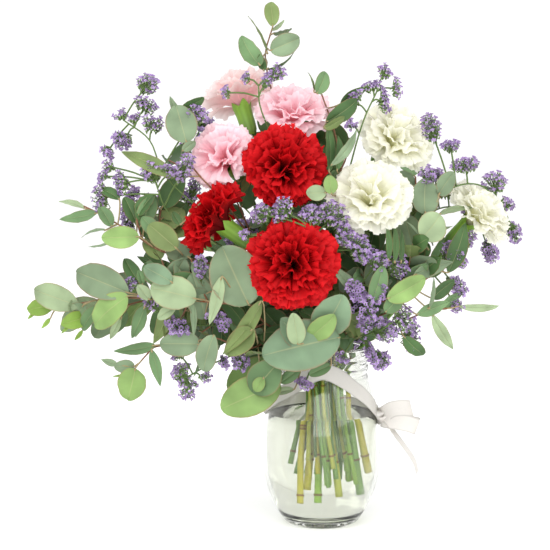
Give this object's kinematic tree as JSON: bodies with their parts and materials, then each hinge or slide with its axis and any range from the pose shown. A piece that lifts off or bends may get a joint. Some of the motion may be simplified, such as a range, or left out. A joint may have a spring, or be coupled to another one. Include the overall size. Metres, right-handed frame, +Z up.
{
  "type": "carnations in a vase",
  "caption": "Bouquet of ruffled red, pink and white carnations with eucalyptus and purple statice, standing in water in a clear glass jar with a thin ribbon bow.",
  "frame": {"origin": "centre of the jar's flat base, on the surface that it stands on", "axes": "+Z up the jar's axis, -Y towards the side that faces the viewer, +X to the viewer's right"},
  "size_m": [0.4046, 0.2375, 0.424],
  "materials": {
    "glass": "gloss",
    "water": "polished",
    "ribbon": "matte",
    "petals_red": "matte",
    "petals_pink": "matte",
    "petals_white": "matte",
    "stems": "satin",
    "eucalyptus": "satin",
    "statice": "matte"
  },
  "bodies": {
    "root": {"carnation_pink_1_bloom": "petals_pink", "carnation_pink_1_stem": "stems", "carnation_pink_2_bloom": "petals_pink", "carnation_pink_2_stem": "stems", "carnation_pink_3_bloom": "petals_pink", "carnation_pink_3_stem": "stems", "carnation_red_1_bloom": "petals_red", "carnation_red_1_stem": "stems", "carnation_red_2_bloom": "petals_red", "carnation_red_2_stem": "stems", "carnation_red_3_bloom": "petals_red", "carnation_red_3_stem": "stems", "carnation_white_1_bloom": "petals_white", "carnation_white_1_stem": "stems", "carnation_white_2_bloom": "petals_white", "carnation_white_2_stem": "stems", "carnation_white_3_bloom": "petals_white", "carnation_white_3_stem": "stems", "eucalyptus_centre_left": "eucalyptus", "eucalyptus_centre_left_back": "eucalyptus", "eucalyptus_front_left": "eucalyptus", "eucalyptus_front_left_back": "eucalyptus", "eucalyptus_front_right": "eucalyptus", "eucalyptus_left": "eucalyptus", "eucalyptus_left_back": "eucalyptus", "eucalyptus_left_bunch": "eucalyptus", "eucalyptus_left_bunch_back": "eucalyptus", "eucalyptus_left_high": "eucalyptus", "eucalyptus_left_low": "eucalyptus", "eucalyptus_right": "eucalyptus", "eucalyptus_right_back": "eucalyptus", "eucalyptus_right_high": "eucalyptus", "eucalyptus_right_high_back": "eucalyptus", "eucalyptus_right_low": "eucalyptus", "eucalyptus_top": "eucalyptus", "eucalyptus_top_right": "eucalyptus", "eucalyptus_top_right_back": "eucalyptus", "glass_jar": "glass", "ribbon": "ribbon", "statice_bottom_left": "statice", "statice_centre": "statice", "statice_centre_back": "statice", "statice_centre_right": "statice", "statice_front_right": "statice", "statice_front_right_back": "statice", "statice_left": "statice", "statice_left_back": "statice", "statice_left_high": "statice", "statice_left_high_back": "statice", "statice_left_low": "statice", "statice_right": "statice", "statice_right_edge": "statice", "statice_right_edge_back": "statice", "statice_right_high": "statice", "statice_top": "statice", "water": "water"}
  },
  "joints": []
}
